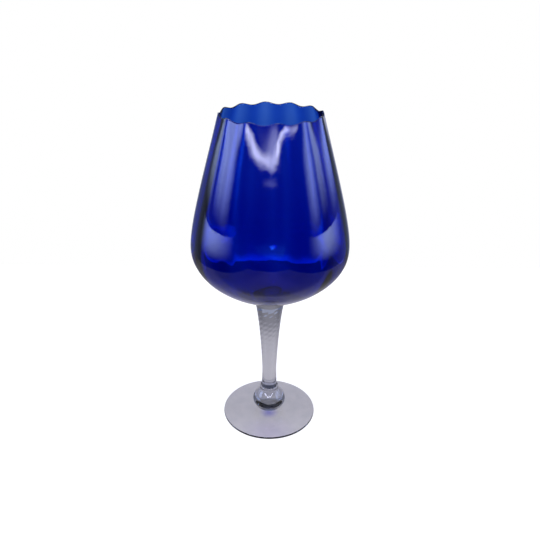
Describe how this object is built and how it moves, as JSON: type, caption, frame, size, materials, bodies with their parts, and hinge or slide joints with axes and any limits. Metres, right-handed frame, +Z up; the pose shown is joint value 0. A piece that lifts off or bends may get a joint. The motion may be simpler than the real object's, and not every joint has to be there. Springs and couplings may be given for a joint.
{
  "type": "glass candle holder",
  "caption": "Balloon-goblet candle holder: ribbed cobalt glass bowl with a scalloped lip, on a clear twisted stem, ball knop and disc foot.",
  "frame": {"origin": "centre of the foot's underside, on the surface it stands on", "axes": "+Z up along the axis of the bowl, stem, knop and foot; the turned body has no front, so +X and +Y are set by the ribs, one crest lying 7 degrees past +X towards +Y"},
  "size_m": [0.1408, 0.1408, 0.3006],
  "materials": {
    "cobalt_glass": "fire-polished cobalt-blue blown glass",
    "clear_glass": "fire-polished clear glass with a faint lavender-grey cast"
  },
  "bodies": {
    "root": {"bowl": "cobalt_glass", "stem": "clear_glass", "knop": "clear_glass", "foot": "clear_glass"}
  },
  "joints": []
}
